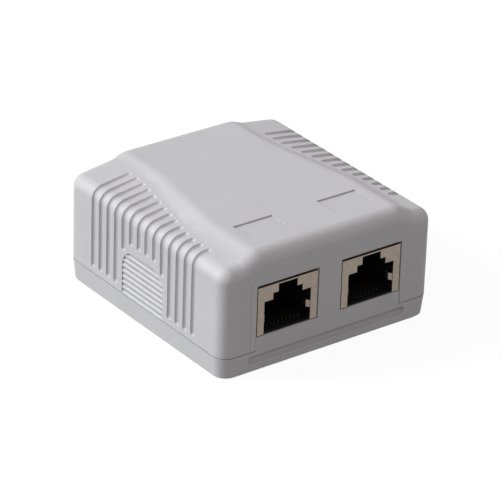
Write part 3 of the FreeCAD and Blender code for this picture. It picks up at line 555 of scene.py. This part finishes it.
def settle(made):
    """Turns what an object's modifiers make into its plain mesh."""
    graph = bpy.context.evaluated_depsgraph_get()
    final = bpy.data.meshes.new_from_object(made.evaluated_get(graph))
    made.modifiers.clear()
    made.data = final
    return made


def finish_piece(made, node, material):
    """Sets a piece's material and body, and lets it stand for its CAD node."""
    made.data.materials.clear()
    made.data.materials.append(material)
    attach(made, frame["nodes"][node]["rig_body"])
    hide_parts(node)


def smooth_copy(node, name, crease, rounding=0.0):
    """A merged copy of a CAD node, with its flat faces kept flat. A rounding softens its edges."""
    mesh = frame["nodes"][node].data.copy()
    mesh.name = name
    shape = bmesh.new()
    shape.from_mesh(mesh)
    bmesh.ops.remove_doubles(shape, verts=shape.verts, dist=MERGE_DISTANCE)
    bmesh.ops.dissolve_limit(shape, angle_limit=FLAT_ANGLE, verts=shape.verts, edges=shape.edges)
    shape.to_mesh(mesh)
    shape.free()
    if "custom_normal" in mesh.attributes:
        mesh.attributes.remove(mesh.attributes["custom_normal"])
    mesh.shade_smooth()
    mesh.set_sharp_from_angle(angle=crease)
    made = add_object(name, mesh)
    if rounding > 0:
        soften = made.modifiers.new("edge rounding", "BEVEL")
        soften.width = rounding
        soften.segments = 2
        soften.limit_method = "ANGLE"
        soften.angle_limit = ROUNDED_EDGE
    even = made.modifiers.new("even shading", "WEIGHTED_NORMAL")
    even.keep_sharp = True
    return settle(made)


def dress(node, name, material, crease=FOLD_CREASE, rounding=0.0):
    """Replaces one CAD node with its smoothed and finished copy."""
    finish_piece(smooth_copy(node, name, crease, rounding), node, material)


# ---- Geometry Nodes -----------------------------------------------------------------------------

def row_of_pieces():
    """A tree that repeats a piece in a row, with a second piece in every other place."""
    name = "row_of_pieces"
    if name in bpy.data.node_groups:
        return bpy.data.node_groups[name]
    tree = bpy.data.node_groups.new(name, "GeometryNodeTree")
    add_sockets(tree,
                [("Piece", "NodeSocketObject", None), ("Other Piece", "NodeSocketObject", None),
                 ("Count", "NodeSocketInt", 8), ("First", "NodeSocketVector", None),
                 ("Step", "NodeSocketVector", None), ("Finish", "NodeSocketMaterial", None)],
                [("Geometry", "NodeSocketGeometry")])
    source = tree.nodes.new("NodeGroupInput")
    sink = tree.nodes.new("NodeGroupOutput")
    line = tree.nodes.new("GeometryNodeMeshLine")
    line.mode = "OFFSET"
    tree.links.new(source.outputs["Count"], line.inputs["Count"])
    tree.links.new(source.outputs["First"], line.inputs["Start Location"])
    tree.links.new(source.outputs["Step"], line.inputs["Offset"])
    index = tree.nodes.new("GeometryNodeInputIndex")
    odd = math_node(tree, "MODULO", index.outputs[0], 2.0)
    even = math_node(tree, "SUBTRACT", 1.0, odd)
    join = tree.nodes.new("GeometryNodeJoinGeometry")
    for wanted, chosen in (("Piece", even), ("Other Piece", odd)):
        piece = tree.nodes.new("GeometryNodeObjectInfo")
        tree.links.new(source.outputs[wanted], piece.inputs["Object"])
        places = tree.nodes.new("GeometryNodeInstanceOnPoints")
        tree.links.new(line.outputs["Mesh"], places.inputs["Points"])
        tree.links.new(chosen, places.inputs["Selection"])
        tree.links.new(piece.outputs["Geometry"], places.inputs["Instance"])
        tree.links.new(places.outputs["Instances"], join.inputs["Geometry"])
    realize = tree.nodes.new("GeometryNodeRealizeInstances")
    finish = tree.nodes.new("GeometryNodeSetMaterial")
    tree.links.new(join.outputs["Geometry"], realize.inputs["Geometry"])
    tree.links.new(realize.outputs["Geometry"], finish.inputs["Geometry"])
    tree.links.new(source.outputs["Finish"], finish.inputs["Material"])
    tree.links.new(finish.outputs["Geometry"], sink.inputs["Geometry"])
    return tree


def bent_wire():
    """A tree that rounds a line's corners and gives it a round section."""
    name = "bent_wire"
    if name in bpy.data.node_groups:
        return bpy.data.node_groups[name]
    tree = bpy.data.node_groups.new(name, "GeometryNodeTree")
    add_sockets(tree,
                [("Geometry", "NodeSocketGeometry", None), ("Thickness", "NodeSocketFloat", 0.0003),
                 ("Bend Radius", "NodeSocketFloat", 0.0004),
                 ("Finish", "NodeSocketMaterial", None)],
                [("Geometry", "NodeSocketGeometry")])
    source = tree.nodes.new("NodeGroupInput")
    sink = tree.nodes.new("NodeGroupOutput")
    to_curve = tree.nodes.new("GeometryNodeMeshToCurve")
    fillet = tree.nodes.new("GeometryNodeFilletCurve")
    fillet.mode = "POLY"
    fillet.inputs["Count"].default_value = 5
    fillet.inputs["Limit Radius"].default_value = True
    section = tree.nodes.new("GeometryNodeCurvePrimitiveCircle")
    section.inputs["Resolution"].default_value = 10
    sweep = tree.nodes.new("GeometryNodeCurveToMesh")
    sweep.inputs["Fill Caps"].default_value = True
    realize = tree.nodes.new("GeometryNodeRealizeInstances")
    finish = tree.nodes.new("GeometryNodeSetMaterial")
    half = math_node(tree, "MULTIPLY", source.outputs["Thickness"], 0.5)
    tree.links.new(source.outputs["Geometry"], to_curve.inputs["Mesh"])
    tree.links.new(to_curve.outputs["Curve"], fillet.inputs["Curve"])
    tree.links.new(source.outputs["Bend Radius"], fillet.inputs["Radius"])
    tree.links.new(half, section.inputs["Radius"])
    tree.links.new(fillet.outputs["Curve"], sweep.inputs["Curve"])
    tree.links.new(section.outputs["Curve"], sweep.inputs["Profile Curve"])
    tree.links.new(sweep.outputs["Mesh"], realize.inputs["Geometry"])
    tree.links.new(realize.outputs["Geometry"], finish.inputs["Geometry"])
    tree.links.new(source.outputs["Finish"], finish.inputs["Material"])
    tree.links.new(finish.outputs["Geometry"], sink.inputs["Geometry"])
    return tree


def grow(made, tree, **values):
    """Runs a tree on an object with the named inputs, and keeps the result as a plain mesh."""
    modifier = made.modifiers.new(tree.name, "NODES")
    modifier.node_group = tree
    for item in tree.interface.items_tree:
        key = item.name.lower().replace(" ", "_")
        if item.in_out == "INPUT" and key in values:
            modifier[item.identifier] = values[key]
    return settle(made)


def row(name, piece, other, count, first, step, material):
    """One mesh of count pieces in a row. The single pieces are thrown away."""
    made = grow(add_object(name, bpy.data.meshes.new(name)), row_of_pieces(), piece=piece,
                other_piece=other, count=count, first=first, step=step, finish=material)
    for single in {piece, other}:
        bpy.data.objects.remove(single)
    return made


# ---- Pieces -------------------------------------------------------------------------------------

def contact_wire(name, route, material):
    """One contact wire along its route in the plane of Y and Z."""
    mesh = bpy.data.meshes.new(name)
    mesh.from_pydata([(0.0, y, z) for y, z in route],
                     [(i, i + 1) for i in range(len(route) - 1)], [])
    sockets = settings("sockets")
    made = grow(add_object(name, mesh), bent_wire(), thickness=sockets.contact_wire,
                bend_radius=sockets.bend_radius, finish=material)
    made.data.shade_smooth()
    made.data.set_sharp_from_angle(angle=WIRE_CREASE)
    return made


def contact_blade(name, low, high, thickness):
    """One forked blade, standing on the board with its pin through it."""
    wiring = settings("wiring")
    half = wiring.blade_width / 2
    slit = wiring.slit_width / 2
    tip = wiring.blade_tip
    pin = wiring.pin_width / 2
    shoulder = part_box("circuit_board")[1].z + wiring.blade_seat
    outline = [(pin, low), (pin, shoulder), (half, shoulder), (half, high - half), (tip, high),
               (slit, high - tip), (slit, high - wiring.slit_depth)]
    outline += [(-x, z) for x, z in reversed(outline)]
    shape = bmesh.new()
    corners = [shape.verts.new((x, -thickness / 2, z)) for x, z in outline]
    face = shape.faces.new(corners)
    pushed = bmesh.ops.extrude_face_region(shape, geom=[face])
    moved = [v for v in pushed["geom"] if isinstance(v, bmesh.types.BMVert)]
    bmesh.ops.translate(shape, verts=moved, vec=(0.0, thickness, 0.0))
    bmesh.ops.recalc_face_normals(shape, faces=shape.faces)
    mesh = bpy.data.meshes.new(name)
    shape.to_mesh(mesh)
    shape.free()
    made = add_object(name, mesh)
    soften = made.modifiers.new("stamped edge", "BEVEL")
    soften.width = wiring.blade_round
    soften.segments = 2
    return settle(made)


class DressCover(bpy.types.Operator):
    """Finish the cover with its band, shoulders, grooves and louvres"""
    bl_idname = "jack_box.dress_cover"
    bl_label = "Cover"

    def execute(self, context):
        case = settings("case")
        # The cover's material carries painted shade in its grooves, louvres and label recesses.
        finish = case_plastic("moulded_cover", case.painted_shade_reach, case.painted_shade_amount)
        dress("cover", "case_cover", finish, case.crease)
        return {"FINISHED"}


class DressBase(bpy.types.Operator):
    """Finish the base tray with its tongue, lip and bosses"""
    bl_idname = "jack_box.dress_base"
    bl_label = "Base"

    def execute(self, context):
        case = settings("case")
        # The base's material carries strong painted shade, mainly in its front slot.
        finish = case_plastic("moulded_base", case.base_painted_shade_reach, case.base_painted_shade_amount)
        dress("base", "case_base", finish, case.crease)
        return {"FINISHED"}


class DressShields(bpy.types.Operator):
    """Finish the stamped shields of both sockets"""
    bl_idname = "jack_box.dress_shields"
    bl_label = "Shields"

    def execute(self, context):
        for side in SIDES:
            dress("jack_shield_" + side, "socket_shield_" + side,
                  nickel_shield(), rounding=settings("sockets").edge_round)
        return {"FINISHED"}


class DressSocketBodies(bpy.types.Operator):
    """Finish the black socket bodies and their contact carriers"""
    bl_idname = "jack_box.dress_socket_bodies"
    bl_label = "Socket bodies"

    def execute(self, context):
        for side in SIDES:
            for node, name in (("jack_housing_", "socket_body_"),
                               ("contact_carrier_", "socket_carrier_")):
                dress(node + side, name + side, jack_plastic(),
                      rounding=settings("sockets").body_round)
        return {"FINISHED"}


class MakeContacts(bpy.types.Operator):
    """Make the rows of bent contact wires in both sockets"""
    bl_idname = "jack_box.make_contacts"
    bl_label = "Contact wires"

    def execute(self, context):
        sockets = settings("sockets")
        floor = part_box("circuit_board")[1].z + sockets.contact_floor
        inset = sockets.contact_wire / 2
        for side in SIDES:
            low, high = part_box("jack_contacts_" + side)
            front = low.y + inset
            tail = high.y - inset
            wires = []
            for kind, y in (("even", tail), ("odd", tail - sockets.tail_row)):
                route = [(y, low.z + inset), (y, floor), (front, floor),
                         (front, floor + sockets.contact_lift),
                         (front + sockets.contact_reach, high.z - inset)]
                wires.append(contact_wire("wire_" + kind, route, gold_contact()))
            made = row("socket_contacts_" + side, *wires, sockets.contact_count,
                       (low.x + inset, 0.0, 0.0), (sockets.contact_pitch, 0.0, 0.0),
                       gold_contact())
            finish_piece(made, "jack_contacts_" + side, gold_contact())
        return {"FINISHED"}


class DressWiringBlocks(bpy.types.Operator):
    """Finish the two wiring blocks"""
    bl_idname = "jack_box.dress_wiring_blocks"
    bl_label = "Wiring blocks"

    def execute(self, context):
        for place in ROWS:
            dress("wiring_block_" + place, "terminal_block_" + place,
                  block_plastic(), rounding=settings("wiring").edge_round)
        return {"FINISHED"}


class MakeBlades(bpy.types.Operator):
    """Make the rows of forked contact blades in the wiring blocks"""
    bl_idname = "jack_box.make_blades"
    bl_label = "Contact blades"

    def execute(self, context):
        wiring = settings("wiring")
        for place in ROWS:
            low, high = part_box("wiring_contacts_" + place)
            blade = contact_blade("blade", low.z, high.z, high.y - low.y)
            first = (low.x + high.x) / 2 - wiring.blade_pitch * (wiring.blade_count - 1) / 2
            made = row("terminal_blades_" + place, blade, blade, wiring.blade_count,
                       (first, (low.y + high.y) / 2, 0.0), (wiring.blade_pitch, 0.0, 0.0),
                       tinned_contact())
            finish_piece(made, "wiring_contacts_" + place, tinned_contact())
        return {"FINISHED"}


class DressBoard(bpy.types.Operator):
    """Finish the circuit board"""
    bl_idname = "jack_box.dress_board"
    bl_label = "Circuit board"

    def execute(self, context):
        dress("circuit_board", "green_board", board_laminate())
        return {"FINISHED"}


class DressEarthing(bpy.types.Operator):
    """Finish the earth bar, the cable saddles and all screws"""
    bl_idname = "jack_box.dress_earthing"
    bl_label = "Earthing and screws"

    def execute(self, context):
        edge = settings("wiring").steel_round
        for node, name, rounding in (("earth_bar", "earth_strip", edge),
                                     ("cable_saddle_left", "cable_strap_left", edge),
                                     ("cable_saddle_right", "cable_strap_right", edge),
                                     ("saddle_screws", "strap_screws", 0.0),
                                     ("board_screw", "centre_screw", 0.0)):
            dress(node, name, plated_steel(), rounding=rounding)
        return {"FINISHED"}


# ---- Stage --------------------------------------------------------------------------------------

def seen_directly(tree):
    """1 where the eye, a reflection or a view through glass meets a surface, and 0 elsewhere."""
    path = tree.nodes.new("ShaderNodeLightPath")
    seen = math_node(tree, "MAXIMUM", path.outputs["Is Camera Ray"], path.outputs["Is Glossy Ray"])
    return math_node(tree, "MAXIMUM", seen, path.outputs["Is Transmission Ray"])


def make_floor(stage):
    mesh = bpy.data.meshes.new("stage_floor")
    reach = stage.floor_reach
    level = -stage.floor_drop
    mesh.from_pydata([(-reach, -reach, level), (reach, -reach, level), (reach, reach, level),
                      (-reach, reach, level)], [], [(0, 1, 2, 3)])
    floor = add_object("stage_floor", mesh)
    material, tree, shader = new_material("stage_white")
    shader.inputs["Base Color"].default_value = (*(stage.floor_shade,) * 3, 1.0)
    shader.inputs["Roughness"].default_value = 0.9
    shader.inputs["Specular IOR Level"].default_value = 0.0
    shader.inputs["Emission Color"].default_value = (*WHITE, 1.0)
    tree.links.new(math_node(tree, "MULTIPLY", seen_directly(tree), stage.floor_lift),
                   shader.inputs["Emission Strength"])
    mesh.materials.append(material)


def make_world(stage):
    world = bpy.data.worlds.new("soft_room")
    bpy.context.scene.world = world
    world.use_nodes = True
    tree = world.node_tree
    tree.nodes.clear()
    sink = tree.nodes.new("ShaderNodeOutputWorld")
    mix = tree.nodes.new("ShaderNodeMixShader")
    tree.links.new(seen_directly(tree), mix.inputs["Fac"])
    for place, colour, strength in ((1, stage.fill_colour, stage.fill_strength),
                                    (2, WHITE, 1.0)):
        background = tree.nodes.new("ShaderNodeBackground")
        background.inputs["Color"].default_value = (*colour, 1.0)
        background.inputs["Strength"].default_value = strength
        tree.links.new(background.outputs[0], mix.inputs[place])
    tree.links.new(mix.outputs[0], sink.inputs["Surface"])


def make_sun(name, colour, strength, spread_angle, height, azimuth):
    """A soft distant light. Azimuth runs from the left side towards the back."""
    light = bpy.data.lights.new(name, "SUN")
    light.color = colour
    light.energy = strength
    light.angle = spread_angle
    lamp = bpy.data.objects.new(name, light)
    lamp.rotation_euler = (0.0, height - math.pi / 2, -azimuth)
    bpy.context.scene.collection.objects.link(lamp)


def make_camera(stage):
    lens = bpy.data.cameras.new("view_camera")
    lens.sensor_width = SENSOR_WIDTH
    lens.lens = stage.lens
    lens.clip_start = 0.01
    camera = bpy.data.objects.new("view_camera", lens)
    turn = Matrix.Rotation(-stage.azimuth, 4, "Z")
    tilt = Matrix.Rotation(math.pi / 2 - stage.elevation, 4, "X")
    roll = Matrix.Rotation(stage.roll, 4, "Z")
    aimed = turn @ tilt @ roll
    back = aimed @ Vector((0.0, 0.0, stage.distance))
    camera.matrix_world = Matrix.Translation(Vector(stage.aim) + back) @ aimed
    bpy.context.scene.collection.objects.link(camera)
    bpy.context.scene.camera = camera


class SetStage(bpy.types.Operator):
    """Set the floor, the light and the camera"""
    bl_idname = "jack_box.set_stage"
    bl_label = "Stage"

    def execute(self, context):
        stage = settings("stage")
        make_floor(stage)
        make_world(stage)
        make_sun("key_light", stage.key_colour, stage.key_strength, stage.key_spread,
                 stage.key_height, stage.key_azimuth)
        make_sun("front_light", stage.fill_colour, stage.front_strength, stage.front_spread,
                 stage.front_height, stage.front_azimuth)
        make_camera(stage)
        context.scene.view_settings.view_transform = "Standard"
        return {"FINISHED"}


# ---- Add-on -------------------------------------------------------------------------------------

OPERATORS = (SetStage, DressCover, DressBase, DressShields, DressSocketBodies, MakeContacts,
             DressWiringBlocks, MakeBlades, DressBoard, DressEarthing)


class JackBoxPanel(bpy.types.Panel):
    """Sizes, colours and making steps of the jack box"""
    bl_idname = "VIEW3D_PT_jack_box"
    bl_label = "Jack Box"
    bl_space_type = "VIEW_3D"
    bl_region_type = "UI"
    bl_category = "Jack Box"

    def draw(self, context):
        for name, group in SETTINGS.items():
            column = self.layout.column(heading=name.capitalize())
            for prop in group.__annotations__:
                column.prop(settings(name), prop)
        for operator in OPERATORS:
            self.layout.operator(operator.bl_idname)


def register():
    for group in SETTINGS.values():
        bpy.utils.register_class(group)
    for name, group in SETTINGS.items():
        setattr(bpy.types.Scene, "jack_box_" + name, PointerProperty(type=group))
    for made in OPERATORS + (JackBoxPanel,):
        bpy.utils.register_class(made)


def unregister():
    for made in reversed(OPERATORS + (JackBoxPanel,)):
        bpy.utils.unregister_class(made)
    for name in SETTINGS:
        delattr(bpy.types.Scene, "jack_box_" + name)
    for group in reversed(SETTINGS.values()):
        bpy.utils.unregister_class(group)


def main():
    register()
    for operator in OPERATORS:
        group, name = operator.bl_idname.split(".")
        getattr(getattr(bpy.ops, group), name)()


if __name__ == "__main__":
    main()
